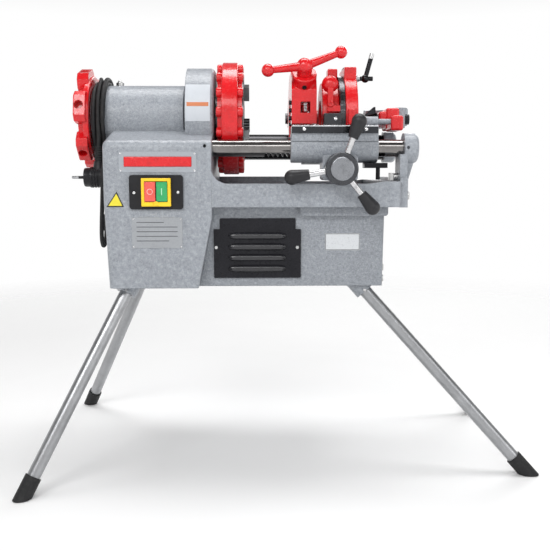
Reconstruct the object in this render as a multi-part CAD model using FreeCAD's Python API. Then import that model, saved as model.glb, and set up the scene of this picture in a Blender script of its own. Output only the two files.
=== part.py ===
"""Two inch pipe threading machine on four splayed legs, modelled in millimetres.

+X runs along the spindle from the rear chuck to the end bracket, +Y points to the back
and +Z up. The origin is on the floor, under the middle of the four feet.
"""
import FreeCAD, Part
import math
import os

V = FreeCAD.Vector
X_DIR = V(1, 0, 0)
Y_DIR = V(0, 1, 0)
Z_DIR = V(0, 0, 1)

RUN = 0.05            # radial running clearance of a shaft in its hole
MESH_RUN = 0.3        # the feed pinion stands this much clear of the rack's pitch line

# Spindle line and pipe size
AXIS_Z = 591.5
PIPE_BORE_R = 31.0
SPINDLE_R = 38.0
SPINDLE_X = (-350.0, -85.0)

# Headstock casting
BASE_Z = 311.0
BODY_Y = 140.0
COLUMN_LEFT_X = -293.0
COLUMN_RIGHT_X = -118.5
SHOULDER_Z = 548.0
WALL = 8.0
HOUSING_R = 57.0
HOUSING_X = (-326.0, -170.0)
BOSS_R = 86.5
BOSS_X = (-165.0, -117.0)
WEB_X = (-226.0, -218.0)

# Chip tray and motor housing
TRAY_X = (-119.0, 188.0)
TRAY_Z = (443.0, 481.0)
TRAY_REAR_Z = 490.0
MOTOR_BOX_X = (-142.0, 163.0)
MOTOR_BOX_Y = 115.0
MOTOR_BOX_WALL = 6.0

# Guide bars and the rack cut in the front one
FRONT_BAR = (-100.0, 538.5)
FRONT_BAR_R = 14.0
REAR_BAR = (114.0, 546.0)
REAR_BAR_R = 24.0
BAR_X = (-160.0, 214.0)
RACK_MODULE = 2.5
FEED_TEETH = 18
FEED_X = 87.5

# Gear train: (module, teeth) of each pair, driven gear first
SPINDLE_PAIR = (2.5, 60, 16)
MIDDLE_PAIR = (2.0, 50, 12)
MOTOR_PAIR = (1.5, 66, 13)
PRESSURE_ANGLE = math.radians(25)

# Carriage
CARRIAGE_X = (10.0, 153.0)
SLEEVE_R = 24.0
BED_Z = (563.0, 573.0)
HINGE = (118.0, 600.0)
HINGE_R = 10.0

# Legs: foot position and the point where the leg enters the base
LEG_R = 10.65
CAP_R = 13.0
CAP_LENGTH = 34.0
LEFT_FOOT = (-409.0, 248.3)
LEFT_SOCKET = (-259.3, 104.5)
RIGHT_FOOT = (406.1, 166.0)
RIGHT_SOCKET = (127.6, 92.0)

# Mains lead
CORD_R = 3.5

solids = {}


def save(name, *shapes):
    """Keep the solids of one node."""
    solids[name] = [solid for shape in shapes for solid in shape.Solids]


def box(x0, x1, y0, y1, z0, z1):
    return Part.makeBox(x1 - x0, y1 - y0, z1 - z0, V(x0, y0, z0))


def rod(start, end, radius):
    start, end = V(*start), V(*end)
    return Part.makeCylinder(radius, (end - start).Length, start, end - start)


def x_rod(x0, x1, radius, y=0.0, z=AXIS_Z):
    return rod((x0, y, z), (x1, y, z), radius)


def x_ring(x0, x1, outer, inner, y=0.0, z=AXIS_Z):
    return x_rod(x0, x1, outer, y, z).cut(x_rod(x0, x1, inner, y, z))


def cone(start, end, radius_start, radius_end):
    start, end = V(*start), V(*end)
    return Part.makeCone(radius_start, radius_end, (end - start).Length, start, end - start)


def ball(x, y, z, radius, poles=Z_DIR):
    return Part.makeSphere(radius, V(x, y, z), poles)


def face_of(points):
    return Part.Face(Part.makePolygon(points + [points[0]]))


def prism_x(yz_points, x0, x1):
    return face_of([V(x0, y, z) for y, z in yz_points]).extrude(V(x1 - x0, 0, 0))


def prism_y(xz_points, y0, y1):
    return face_of([V(x, y0, z) for x, z in xz_points]).extrude(V(0, y1 - y0, 0))


def fuse(first, *others):
    return first.multiFuse(list(others)).removeSplitter()


def cut(shape, *tools):
    for tool in tools:
        shape = shape.cut(tool)
    return shape


def turned(shape, degrees, centre, axis):
    copy = shape.copy()
    copy.rotate(V(*centre), axis, degrees)
    return copy


def spun(shape, degrees):
    """A copy turned about the spindle line."""
    return turned(shape, degrees, (0, 0, AXIS_Z), X_DIR)


def edge_direction(edge):
    if not isinstance(edge.Curve, Part.Line):
        return None
    return edge.tangentAt(edge.FirstParameter)


def round_edges(shape, radius, direction=None, where=lambda point: True):
    """Round the straight edges along a direction, or every edge, whose middle passes where."""
    chosen = []
    for edge in shape.Edges:
        along = edge_direction(edge)
        if direction is not None:
            if along is None or abs(along.dot(direction)) < 0.9999:
                continue
        middle = edge.valueAt((edge.FirstParameter + edge.LastParameter) / 2)
        if where(middle):
            chosen.append(edge)
    return shape.makeFillet(radius, chosen)


def soft_block(x0, x1, y0, y1, z0, z1, radius):
    return round_edges(box(x0, x1, y0, y1, z0, z1), radius)


def involute(angle):
    return math.tan(angle) - angle


def gear(module, teeth, x0, x1, y, z, tooth_at):
    """A spur gear along X with stub involute teeth, one tooth centred at an angle from +Y."""
    pitch = module * teeth / 2
    base = pitch * math.cos(PRESSURE_ANGLE)
    root = pitch - module
    tip = pitch + 0.8 * module
    half_pitch_angle = (math.pi / 2 - 0.1) / teeth
    flank = []
    steps = 5
    start = max(base, root)
    for i in range(steps + 1):
        radius = start + (tip - start) * i / steps
        pressure = math.acos(min(1.0, base / radius))
        flank.append((radius, half_pitch_angle + involute(PRESSURE_ANGLE) - involute(pressure)))
    if root < base:
        flank.insert(0, (root, flank[0][1]))
    points = []
    for tooth in range(teeth):
        middle = math.radians(tooth_at) + 2 * math.pi * tooth / teeth
        sides = [(r, middle - a) for r, a in flank] + [(r, middle + a) for r, a in reversed(flank)]
        points += [V(x0, y + r * math.cos(a), z + r * math.sin(a)) for r, a in sides]
    return face_of(points).extrude(V(x1 - x0, 0, 0))


# Shaft heights of the gear train, each stage below the last
SHAFT_A_Z = AXIS_Z - SPINDLE_PAIR[0] * (SPINDLE_PAIR[1] + SPINDLE_PAIR[2]) / 2
SHAFT_B_Z = SHAFT_A_Z - MIDDLE_PAIR[0] * (MIDDLE_PAIR[1] + MIDDLE_PAIR[2]) / 2
MOTOR_Z = SHAFT_B_Z - MOTOR_PAIR[0] * (MOTOR_PAIR[1] + MOTOR_PAIR[2]) / 2
SPINDLE_GEAR_X = (-157.5, -140.5)
GEAR_ROOM_X = (-160.5, -137.0)
MIDDLE_GEAR_X = (-187.0, -171.0)
MOTOR_GEAR_X = (-211.0, -197.0)


def column_block():
    """The outside of the gearbox column, without its cavity."""
    left, right = COLUMN_LEFT_X, COLUMN_RIGHT_X
    front = [V(left + 6, 0, BASE_Z), V(left, 0, 450), V(left, 0, 600), V(right, 0, 600),
             V(right, 0, 426), V(right - 23, 0, BASE_Z)]
    slab = face_of(front).extrude(V(0, 400, 0))
    slab.translate(V(0, -200, 0))
    shoulder = [(-BODY_Y, BASE_Z), (-BODY_Y, SHOULDER_Z), (-48, 571), (48, 571),
                (BODY_Y, SHOULDER_Z), (BODY_Y, BASE_Z)]
    block = slab.common(prism_x(shoulder, left, right))
    block = round_edges(block, 14, X_DIR, lambda p: p.z > 540 and abs(p.y) > 100)
    return round_edges(block, 9, Z_DIR, lambda p: p.x < left + 3 and abs(p.y) > 130)


def leg_line(foot, socket, side, height):
    """The point of a leg's centre line at a height; side is -1 in front and 1 behind."""
    share = height / BASE_Z
    x = foot[0] + (socket[0] - foot[0]) * share
    y = foot[1] + (socket[1] - foot[1]) * share
    return (x, side * y, height)


def socket_boss(foot, socket, side):
    low = leg_line(foot, socket, side, BASE_Z - 12)
    return rod(low, leg_line(foot, socket, side, BASE_Z + 42), 17.5)


def socket_hole(foot, socket, side):
    low = leg_line(foot, socket, side, BASE_Z - 30)
    return rod(low, leg_line(foot, socket, side, BASE_Z + 36), LEG_R)


def headstock_casting():
    left, right = COLUMN_LEFT_X, COLUMN_RIGHT_X
    boss = round_edges(x_rod(*BOSS_X, BOSS_R), 8, None, lambda p: p.x > BOSS_X[1] - 1)
    rear_bar_boss = x_rod(-176, right, REAR_BAR_R + 9, *REAR_BAR)
    outside = fuse(column_block(), x_rod(*HOUSING_X, HOUSING_R), boss, rear_bar_boss)
    for side in (-1, 1):
        outside = outside.fuse(socket_boss(LEFT_FOOT, LEFT_SOCKET, side))
    cavity_outline = [V(left + 14, 0, BASE_Z + WALL), V(left + WALL, 0, 450), V(left + WALL, 0, 515),
                      V(right - WALL, 0, 515), V(right - WALL, 0, 424), V(right - 31, 0, BASE_Z + WALL)]
    cavity = face_of(cavity_outline).extrude(V(0, 2 * BODY_Y - WALL, 0))
    cavity.translate(V(0, -BODY_Y + WALL, 0))
    gear_slot = box(-191, GEAR_ROOM_X[1], -54, 54, 500, 556)
    main_gear_room = fuse(box(*GEAR_ROOM_X, -76, 76, 500, AXIS_Z), x_rod(*GEAR_ROOM_X, 80))
    casting = cut(outside, cavity, gear_slot, main_gear_room)
    web = box(*WEB_X, -BODY_Y + WALL, BODY_Y - WALL, BASE_Z + WALL, 515)
    casting = casting.fuse(web)
    for side in (-1, 1):
        inner_boss = socket_boss(LEFT_FOOT, LEFT_SOCKET, side).common(
            box(left, right, -BODY_Y + 1, BODY_Y - WALL, BASE_Z, 400))
        casting = cut(casting.fuse(inner_boss), socket_hole(LEFT_FOOT, LEFT_SOCKET, side))
    casting = cut(
        casting,
        x_rod(HOUSING_X[0], BOSS_X[1], SPINDLE_R + 6),
        x_rod(BAR_X[0], right, FRONT_BAR_R, *FRONT_BAR),
        x_rod(BAR_X[0], right, REAR_BAR_R, *REAR_BAR),
        x_rod(WEB_X[0], right - 1.5, 8 + RUN, 0, SHAFT_A_Z),
        x_rod(WEB_X[0], right - 3, 8 + RUN, 0, SHAFT_B_Z),
        x_rod(WEB_X[0], WEB_X[1], 6 + RUN, 0, MOTOR_Z),
        x_rod(-150, right, 10, 0, MOTOR_Z),
        rod((-129, -BODY_Y - 1, 541), (-129, -115, 541), 2.6))
    return casting.removeSplitter()


def chip_tray():
    """Open tray: floor, four walls and a thicker right end that takes the bracket."""
    x0, x1 = TRAY_X
    z0, z1 = TRAY_Z
    outside = box(x0 - 10, x1, -BODY_Y, BODY_Y, z0, z1)
    outside = outside.fuse(box(x0 - 10, 40, BODY_Y - WALL, BODY_Y, z0, TRAY_REAR_Z))
    raised = prism_y([(x1 - 52, z1 - 1), (x1 - 52, z1), (x1 - 26, z1 + 3.5), (x1, z1 + 3.5), (x1, z1 - 1)],
                     -BODY_Y, BODY_Y)
    fillet_foot = prism_y([(x0 - 1, z1 - 1), (x0 - 1, 506), (x0 + 3, 494), (x0 + 10, 486), (x0 + 22, z1),
                           (x0 + 22, z1 - 1)], -BODY_Y, -BODY_Y + WALL)
    outside = fuse(outside, raised, fillet_foot)
    inside = box(x0 - 10, x1 - 26, -BODY_Y + WALL, BODY_Y - WALL, z0 + WALL, z1 + 30)
    tray = cut(outside, inside, column_block())
    return round_edges(tray, 6, Z_DIR, lambda p: p.x > x1 - 1 and abs(p.y) > BODY_Y - 1)


def motor_box_solid():
    x0, x1 = MOTOR_BOX_X
    right_side = [(x0, BASE_Z), (x0, TRAY_Z[0]), (x1 + 2, TRAY_Z[0]), (x1, BASE_Z)]
    return prism_y(right_side, -MOTOR_BOX_Y, MOTOR_BOX_Y)


def motor_housing():
    """Lower casting under the tray, with the rib below the tray and the two leg sockets."""
    wall = MOTOR_BOX_WALL
    x0, x1 = MOTOR_BOX_X
    block = cut(motor_box_solid(), column_block())
    rib = round_edges(box(25, 170, -MOTOR_BOX_Y - 9, -MOTOR_BOX_Y, 428, TRAY_Z[0]), 5, Y_DIR,
                      lambda p: p.z < 430)
    block = block.fuse(rib)
    for side in (-1, 1):
        block = block.fuse(socket_boss(RIGHT_FOOT, RIGHT_SOCKET, side))
    cavity = box(-112, x1 - wall, -MOTOR_BOX_Y + wall, MOTOR_BOX_Y - wall, BASE_Z + WALL, TRAY_Z[0])
    window = box(-100, 12, -MOTOR_BOX_Y, -MOTOR_BOX_Y + wall, 334, 412)
    shaft_way = x_rod(x0, -112, 12, 0, MOTOR_Z)
    housing = cut(block, cavity, window, shaft_way)
    for side in (-1, 1):
        inner = socket_boss(RIGHT_FOOT, RIGHT_SOCKET, side).common(
            box(0, x1 - wall, -MOTOR_BOX_Y, MOTOR_BOX_Y, BASE_Z, 400))
        housing = cut(housing.fuse(inner), socket_hole(RIGHT_FOOT, RIGHT_SOCKET, side))
    return housing.removeSplitter()


def end_bracket():
    """Right-hand casting that ties both bars to the end of the tray."""
    x0 = TRAY_X[1]
    plate = box(x0, x0 + 13, -128, 128, 442, 490)
    parts = []
    for (y, z), radius in ((FRONT_BAR, 24.5), (REAR_BAR, 29.0)):
        boss = x_rod(x0 + 8, x0 + 32, radius, y, z)
        parts.append(round_edges(boss, 7, None, lambda p: p.x > x0 + 31))
    front_y, front_z = FRONT_BAR
    upright = box(x0, x0 + 13, front_y - 22, front_y + 22, 480, front_z - 10)
    gusset_side = [(x0 + 12, 470), (x0 + 12, front_z - 15), (x0 + 28, front_z - 15)]
    gusset = prism_y(gusset_side, front_y - 6, front_y + 6)
    bridge = box(x0 + 2, x0 + 22, front_y, REAR_BAR[0], 531, 552)
    bracket = fuse(plate, upright, gusset, bridge, *parts)
    bracket = cut(bracket, x_rod(x0, BAR_X[1], FRONT_BAR_R, *FRONT_BAR),
                  x_rod(x0, BAR_X[1], REAR_BAR_R, *REAR_BAR),
                  rod((x0 + 13, -130, 539), (x0 + 13, -118, 539), 2.6))
    return bracket.removeSplitter()


def front_rack_bar():
    """Guide bar with rack teeth along its underside."""
    pitch = math.pi * RACK_MODULE
    pitch_z = rack_pitch_z()
    bar = x_rod(*BAR_X, FRONT_BAR_R, *FRONT_BAR)
    slope = math.tan(PRESSURE_ANGLE)
    gaps = []
    for i in range(-15, 8):
        x = FEED_X + i * pitch
        top = pitch_z + RACK_MODULE
        low = pitch_z - 4
        half_top = pitch / 4 + 0.12 - RACK_MODULE * slope
        half_low = pitch / 4 + 0.12 + 4 * slope
        gap = [(x - half_low, low), (x - half_top, top), (x + half_top, top), (x + half_low, low)]
        gaps.append(prism_y(gap, FRONT_BAR[0] - 20, FRONT_BAR[0] + 20))
    return cut(bar, *gaps)


def rack_pitch_z():
    return FRONT_BAR[1] - FRONT_BAR_R + 0.8 * RACK_MODULE + 0.8


def legs():
    tubes, caps = [], []
    for foot, socket in ((LEFT_FOOT, LEFT_SOCKET), (RIGHT_FOOT, RIGHT_SOCKET)):
        for side in (-1, 1):
            bottom = leg_line(foot, socket, side, 12)
            top = leg_line(foot, socket, side, BASE_Z + 34)
            shape = rod(bottom, top, LEG_R)
            low = leg_line(foot, socket, side, -8)
            direction = V(*top) - V(*low)
            direction.normalize()
            cap_top = V(*leg_line(foot, socket, side, 2)) + direction * CAP_LENGTH
            cap = rod(low, tuple(cap_top), CAP_R)
            cap = cut(cap, rod(bottom, top, LEG_R), box(-600, 600, -600, 600, -40, 0))
            tubes.append(shape)
            caps.append(cap)
    save("leg_tubes", *tubes)
    save("foot_caps", *caps)


def leg_screw(foot, socket, side):
    """Head of the screw that clamps a leg in its socket, on the outer side of the boss."""
    seat = V(*leg_line(foot, socket, side, BASE_Z - 10.5))
    direction = V(*leg_line(foot, socket, side, BASE_Z)) - seat
    direction.normalize()
    out = V(0, side, 0)
    out = out - direction * out.dot(direction)
    out.normalize()
    return rod(tuple(seat + out * 17.5), tuple(seat + out * 21), 2.5)


def rear_cover():
    """Plate that closes the back of the gearbox column."""
    outline = [V(COLUMN_LEFT_X + 14, 0, BASE_Z + WALL), V(COLUMN_LEFT_X + WALL, 0, 450),
               V(COLUMN_LEFT_X + WALL, 0, 515), V(COLUMN_RIGHT_X - WALL, 0, 515),
               V(COLUMN_RIGHT_X - WALL, 0, 424), V(COLUMN_RIGHT_X - 31, 0, BASE_Z + WALL)]
    plate = face_of(outline).extrude(V(0, WALL, 0))
    plate.translate(V(0, BODY_Y - WALL, 0))
    return plate


def slotted_panel():
    """Black louvred panel over the motor, with a narrower tab on top."""
    y1 = -MOTOR_BOX_Y
    y0 = y1 - 3
    panel = fuse(box(-117, 27, y0, y1, 325, 406), box(-107, 18, y0, y1, 400, 424))
    panel = round_edges(panel, 1.5, Y_DIR)
    for z in (394, 376, 358, 340):
        hood = prism_x([(y0 + 1, z + 5), (y0 - 5, z + 1), (y0 - 5, z - 1), (y0 + 1, z + 3.4)], -91, 1)
        panel = fuse(cut(panel, box(-90, 0, y0 - 1, y1 + 1, z - 3, z + 3)), hood)
    return panel


def switch_parts():
    y = -BODY_Y
    plate = round_edges(box(-250, -164, y - 4, y, 440, 495), 5, Y_DIR)
    plate = cut(plate, box(-227, -186, y - 5, y, 450, 486))
    frame = soft_block(-230, -183, y - 11, y - 4, 445, 490, 1.2)
    frame = cut(frame, box(-225, -188, y - 12, y - 4, 452, 485))
    save("switch_plate", plate, box(-226, -187, y - 3.5, y, 451, 485))
    save("switch_frame", frame)
    for name, x0, x1 in (("stop_button", -224.5, -207.2), ("start_button", -205.8, -188.5)):
        save(name, soft_block(x0, x1, y - 13, y - 6.5, 453, 484, 0.9))


def blank_plates():
    y = -BODY_Y
    name = box(-266, -142, y - 0.8, y, 499, 532)
    rating = box(-247.5, -166, y - 0.8, y, 377, 427)
    marking = box(67, 125, -MOTOR_BOX_Y - 0.8, -MOTOR_BOX_Y, 370.5, 399)
    save("blank_plates", name, rating, marking)


def body_bolts():
    """Screw heads of the casting: louvred panel, rear cover, motor housing and oil filler."""
    heads = [rod((x, -MOTOR_BOX_Y - 5, 376), (x, -MOTOR_BOX_Y - 3, 376), 2.6) for x in (-113, 21)]
    right = MOTOR_BOX_X[1]
    heads += [rod((right + 0.5, y, z), (right + 7, y, z), 6) for y, z in ((-80, 338), (-80, 319.5))]
    for x in (-272, -138):
        for z in (350, 500):
            heads.append(rod((x, BODY_Y, z), (x, BODY_Y + 4, z), 5))
    oiler_top = AXIS_Z + HOUSING_R
    filler = fuse(rod((-284, 0, oiler_top - 2), (-284, 0, oiler_top + 5), 7), ball(-284, 0, oiler_top + 5, 5))
    heads.append(cut(filler, x_rod(*HOUSING_X, HOUSING_R)))
    bracket_x = TRAY_X[1]
    for y in (-104, 104):
        heads.append(rod((bracket_x + 13, y, 461), (bracket_x + 19, y, 461), 7))
    clamp = fuse(soft_block(174, 181, -108, -92, 485, 498, 1), x_rod(180, bracket_x, 6, -100, 491.5))
    heads.append(cut(clamp, box(150, 200, -140, 140, 400, 484.6)))
    for foot, socket in ((LEFT_FOOT, LEFT_SOCKET), (RIGHT_FOOT, RIGHT_SOCKET)):
        for side in (-1, 1):
            heads.append(leg_screw(foot, socket, side))
    save("body_bolts", *heads)


def motor_parts():
    """Motor shell with its two bearing caps and foot, and the turning rotor."""
    shell = x_ring(-104, 30, 50, 37, 0, MOTOR_Z)
    caps = [x_ring(-108, -96, 50, 6 + RUN, 0, MOTOR_Z), x_ring(24, 32, 50, 6 + RUN, 0, MOTOR_Z)]
    foot = box(-70, 0, -30, 30, BASE_Z + WALL, MOTOR_Z - 40)
    body = cut(fuse(shell, *caps, foot), x_rod(-96, 24, 37, 0, MOTOR_Z))
    save("motor_body", body)
    module, _, teeth = MOTOR_PAIR
    shaft = x_rod(-225, 31, 6, 0, MOTOR_Z)
    core = x_rod(-80, 10, 34, 0, MOTOR_Z)
    fan = x_rod(14, 20, 33, 0, MOTOR_Z)
    pinion = gear(module, teeth, MOTOR_GEAR_X[0] - 1, MOTOR_GEAR_X[1] + 1, 0, MOTOR_Z, 90 + 180 / teeth)
    save("motor_rotor", fuse(shaft, core, fan, pinion))


def gear_train():
    module, wheel, pinion = SPINDLE_PAIR
    x0, x1 = SPINDLE_GEAR_X
    main = gear(module, wheel, x0, x1, 0, AXIS_Z, -90)
    save("spindle_gear", cut(main, x_rod(x0, x1, SPINDLE_R)))
    small = gear(module, pinion, x0 - 2, x1 + 2, 0, SHAFT_A_Z, 90 + 180 / pinion)
    module, wheel, pinion = MIDDLE_PAIR
    large = gear(module, wheel, *MIDDLE_GEAR_X, 0, SHAFT_A_Z, -90)
    save("upper_gear_shaft", fuse(x_rod(WEB_X[0] + 1, COLUMN_RIGHT_X - 3, 8, 0, SHAFT_A_Z), small, large))
    small = gear(module, pinion, MIDDLE_GEAR_X[0] - 1, MIDDLE_GEAR_X[1] + 1, 0, SHAFT_B_Z, 90 + 180 / pinion)
    module, wheel, pinion = MOTOR_PAIR
    large = gear(module, wheel, *MOTOR_GEAR_X, 0, SHAFT_B_Z, -90)
    save("lower_gear_shaft", fuse(x_rod(WEB_X[0] + 1, COLUMN_RIGHT_X - 5, 8, 0, SHAFT_B_Z), small, large))


# Front chuck
WHEEL_R = 96.5
CHUCK_BODY_R = 70.0
CHUCK_X = (-113.0, -68.0)
JAW_ANGLES = (20, 140, 260)
JAW_HALF = 10.0
JAW_INNER_R = 35.0

# Rear chuck
REAR_WHEEL_X = (-346.0, -327.0)
LOBE_X = (-350.0, -330.0)
REAR_JAW_X = (-342.0, -333.0)
LOBE_ANGLES = (17, 77, 137, 197, 257, 317)


def spindle_parts():
    tube = x_ring(*SPINDLE_X, SPINDLE_R, PIPE_BORE_R)
    for angle in JAW_ANGLES:
        slot = box(REAR_JAW_X[0] - RUN, REAR_JAW_X[1] + RUN, -8 - RUN, 8 + RUN, AXIS_Z + 20, AXIS_Z + 50)
        tube = tube.cut(spun(slot, angle))
    save("spindle_tube", tube)
    bush_ends = ((HOUSING_X[0], HOUSING_X[0] + 40), (GEAR_ROOM_X[1], BOSS_X[1]))
    save("spindle_bushes", *[x_ring(*ends, SPINDLE_R + 6, SPINDLE_R + RUN) for ends in bush_ends])


def chuck_body():
    x0, x1 = CHUCK_X
    body = x_rod(x0, x1, CHUCK_BODY_R - RUN)
    body = cut(body, x_rod(x0, SPINDLE_X[1], SPINDLE_R), x_rod(SPINDLE_X[1], x1, 33))
    for angle in JAW_ANGLES:
        slot = box(x1 - 16, x1, -JAW_HALF - RUN, JAW_HALF + RUN, AXIS_Z + 20, AXIS_Z + 80)
        body = body.cut(spun(slot, angle))
    return body


def hammer_wheel():
    """Red hand wheel of the front chuck: a smooth band between two rows of finger knobs."""
    x0, x1 = CHUCK_X
    band = round_edges(x_rod(x0 + 9, x1 - 9, WHEEL_R), 2)
    rims = [x_rod(x0 + 2, x0 + 10, 84), x_rod(x1 - 10, x1 - 2, 84)]
    wheel = fuse(band, *rims)
    knobs = []
    for i in range(16):
        a = math.radians(18 + i * 22.5)
        y, z = -86 * math.sin(a), AXIS_Z + 86 * math.cos(a)
        for ends in ((x0, x0 + 10), (x1 - 10, x1)):
            knobs.append(round_edges(x_rod(*ends, 8.5, y, z), 2.5))
    wheel = wheel.multiFuse(knobs)
    wheel = cut(wheel, x_rod(x0 - 5, x1 + 5, CHUCK_BODY_R))
    return wheel


def front_jaw(angle):
    """One jaw: a guided foot in its slot and a stepped nose with teeth towards the pipe."""
    x1 = CHUCK_X[1]
    inner = AXIS_Z + JAW_INNER_R
    foot = box(x1 - 15.9, x1 + 1, -JAW_HALF, JAW_HALF, inner, inner + 32)
    nose = box(x1, x1 + 9.5, -JAW_HALF, JAW_HALF, inner, inner + 24)
    jaw = fuse(foot, nose)
    for y in (-7.5, -2.5, 2.5, 7.5):
        groove = [(y - 1.6, inner - 0.1), (y, inner + 3), (y + 1.6, inner - 0.1)]
        jaw = jaw.cut(prism_x(groove, x1 - 16, x1 + 13))
    return spun(jaw, angle)


def rear_wheel():
    """Rear chuck hand wheel: a rim, a body and six block shaped lobes to grip."""
    x0, x1 = REAR_WHEEL_X
    rim = round_edges(x_rod(x1 - 10, x1, 73), 2)
    wheel = rim.fuse(x_rod(x0, x1, 64))
    for angle in LOBE_ANGLES:
        outline = [(-18, AXIS_Z + 46), (-26, AXIS_Z + 58), (-26, AXIS_Z + 74), (-17, AXIS_Z + 83),
                   (17, AXIS_Z + 83), (26, AXIS_Z + 74), (26, AXIS_Z + 58), (18, AXIS_Z + 46)]
        lobe = prism_x(outline, *LOBE_X)
        lobe = round_edges(lobe, 2.5, None, lambda p: p.x < LOBE_X[0] + 1)
        hole = rod((-340.5, 0, AXIS_Z + 70), (-340.5, 0, AXIS_Z + 84), 7.5)
        wheel = wheel.fuse(spun(lobe.cut(hole), angle))
    scroll_room = x_rod(REAR_JAW_X[0] - 0.5, REAR_JAW_X[1] + 0.5, 60)
    wheel = cut(wheel, x_rod(LOBE_X[0], x1, SPINDLE_R + RUN), scroll_room)
    return wheel.removeSplitter()


def rear_jaw(angle):
    foot = box(*REAR_JAW_X, -8, 8, AXIS_Z + 33, AXIS_Z + 55)
    return spun(foot, angle)


def chuck_parts():
    save("chuck_body", chuck_body())
    save("hammer_wheel", hammer_wheel())
    save("rear_chuck_wheel", rear_wheel())
    for i, angle in enumerate(JAW_ANGLES, 1):
        save("front_jaw_%d" % i, front_jaw(angle))
        save("rear_jaw_%d" % i, rear_jaw(angle))


# Pipe cutter, die head and reamer, all hung on the carriage's hinge shaft
CUTTER_X = (13.0, 55.0)
CUTTER_MID = 34.0
SCREW_SLANT = math.radians(45)
WHEEL_AT = 51.0
HANDLE_AT = 125.0
DIE_BLOCK_X = (66.0, 94.9)
CAM_X = (95.1, 103.9)
DIE_PLATE_X = (104.0, 125.0)
DIE_HUB_R = 46.0
DIE_ANGLES = (45, 135, 225, 315)
REAMER_ARM_X = (160.0, 226.0)
REAMER_BLOCK_X = (168.0, 202.0)
LATCH = (-64.0, 584.0)
PINION_Z = rack_pitch_z() - RACK_MODULE * FEED_TEETH / 2 - MESH_RUN


def carriage_casting():
    x0, x1 = CARRIAGE_X
    front_y, front_z = FRONT_BAR
    sleeve = round_edges(x_rod(x0, x1, SLEEVE_R, *FRONT_BAR), 1.5)
    bed = box(x0 + 1, x1 - 1, -124, -82, BED_Z[0] - 14, BED_Z[1])
    rear_sleeve = x_rod(40, 136, REAR_BAR_R + 9, *REAR_BAR)
    beams = [box(56, 64, -90, 80, 538, 556), box(128, 152, -90, 90, 538, 556)]
    apron = round_edges(box(60, 116, -148, -84, 486, 526), 5, Y_DIR)
    hinge_y, hinge_z = HINGE
    lugs = []
    for low, high in ((56, 64), (127, 137)):
        web = box(low, high, hinge_y - 14, hinge_y + 14, 550, hinge_z)
        lugs += [web, x_rod(low, high, 15, *HINGE)]
    casting = fuse(sleeve, bed, rear_sleeve, apron, *beams, *lugs)
    pinion_room = rod((FEED_X, -113, PINION_Z), (FEED_X, -87, PINION_Z), 25.2)
    return cut(casting,
               x_rod(x0, x1, FRONT_BAR_R + RUN, *FRONT_BAR),
               x_rod(x0, x1 + 40, REAR_BAR_R + RUN, *REAR_BAR),
               x_rod(0, 160, HINGE_R, *HINGE),
               pinion_room,
               rod((FEED_X, -150, PINION_Z), (FEED_X, -80, PINION_Z), 8 + RUN))


def carriage_parts():
    x0, x1 = CARRIAGE_X
    save("carriage_casting", carriage_casting())
    strip = soft_block(x0 + 1, x1 - 2, -128, -124, BED_Z[0] - 1, BED_Z[1] + 1.5, 0.6)
    screws = [rod((x, -130, 568), (x, -128, 568), 3) for x in (31, 131)]
    save("way_strip", strip, *screws)
    shaft = x_rod(9, 232, HINGE_R, *HINGE)
    save("hinge_shaft", shaft)
    guide = soft_block(130, 168, -122, -96, 506, 514.4, 1)
    stop = soft_block(66, 94.5, -92, -66, BED_Z[1], 596, 1.2)
    save("guide_blocks", guide, rod((154, -109, 487), (154, -109, 506), 3.5), stop)


def handwheel():
    centre_z = PINION_Z
    pinion = turned(gear(RACK_MODULE, FEED_TEETH, 0, 20, 0, 0, 90), 90, (0, 0, 0), Z_DIR)
    pinion.translate(V(FEED_X, -110, centre_z))
    shaft = rod((FEED_X, -155, centre_z), (FEED_X, -82, centre_z), 8)
    save("feed_pinion", fuse(pinion, shaft))
    flange = round_edges(rod((FEED_X, -180, centre_z), (FEED_X, -149, centre_z), 26), 2.5)
    cap = round_edges(rod((FEED_X, -187, centre_z), (FEED_X, -179, centre_z), 18.5), 2)
    hub = cut(fuse(flange, cap), rod((FEED_X, -155, centre_z), (FEED_X, -149, centre_z), 8))
    spokes, grips = [], []
    for angle in (69.7, 189.7, 309.7):
        a = math.radians(angle)

        def at(radius, y=-166.0):
            return (FEED_X + radius * math.cos(a), y, centre_z + radius * math.sin(a))
        spoke = rod(at(22), at(60), 5)
        hub = hub.cut(spoke)
        spokes.append(spoke)
        grip = fuse(cone(at(51), at(79), 8, 12), ball(*at(79), 12))
        grips.append(grip.cut(spoke))
    save("handwheel_hub", hub, *spokes)
    save("handwheel_grips", *grips)


def slant_point(distance, across=0.0, x=CUTTER_MID):
    """A point on the cutter's screw line, at a distance from the spindle line."""
    c, s = math.cos(SCREW_SLANT), math.sin(SCREW_SLANT)
    return (x, -distance * c + across * s, AXIS_Z + distance * s + across * c)


def slant_box(half_x, near, far, half_across):
    block = Part.makeBox(2 * half_x, 2 * half_across, far - near, V(CUTTER_MID - half_x, -half_across, near))
    block.rotate(V(0, 0, 0), X_DIR, 90 - math.degrees(SCREW_SLANT))
    block.translate(V(0, 0, AXIS_Z))
    return block


def roller_centres():
    for angle in (-10, -62):
        a = math.radians(angle)
        yield 39.2 * math.cos(a), AXIS_Z + 39.2 * math.sin(a)


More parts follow.
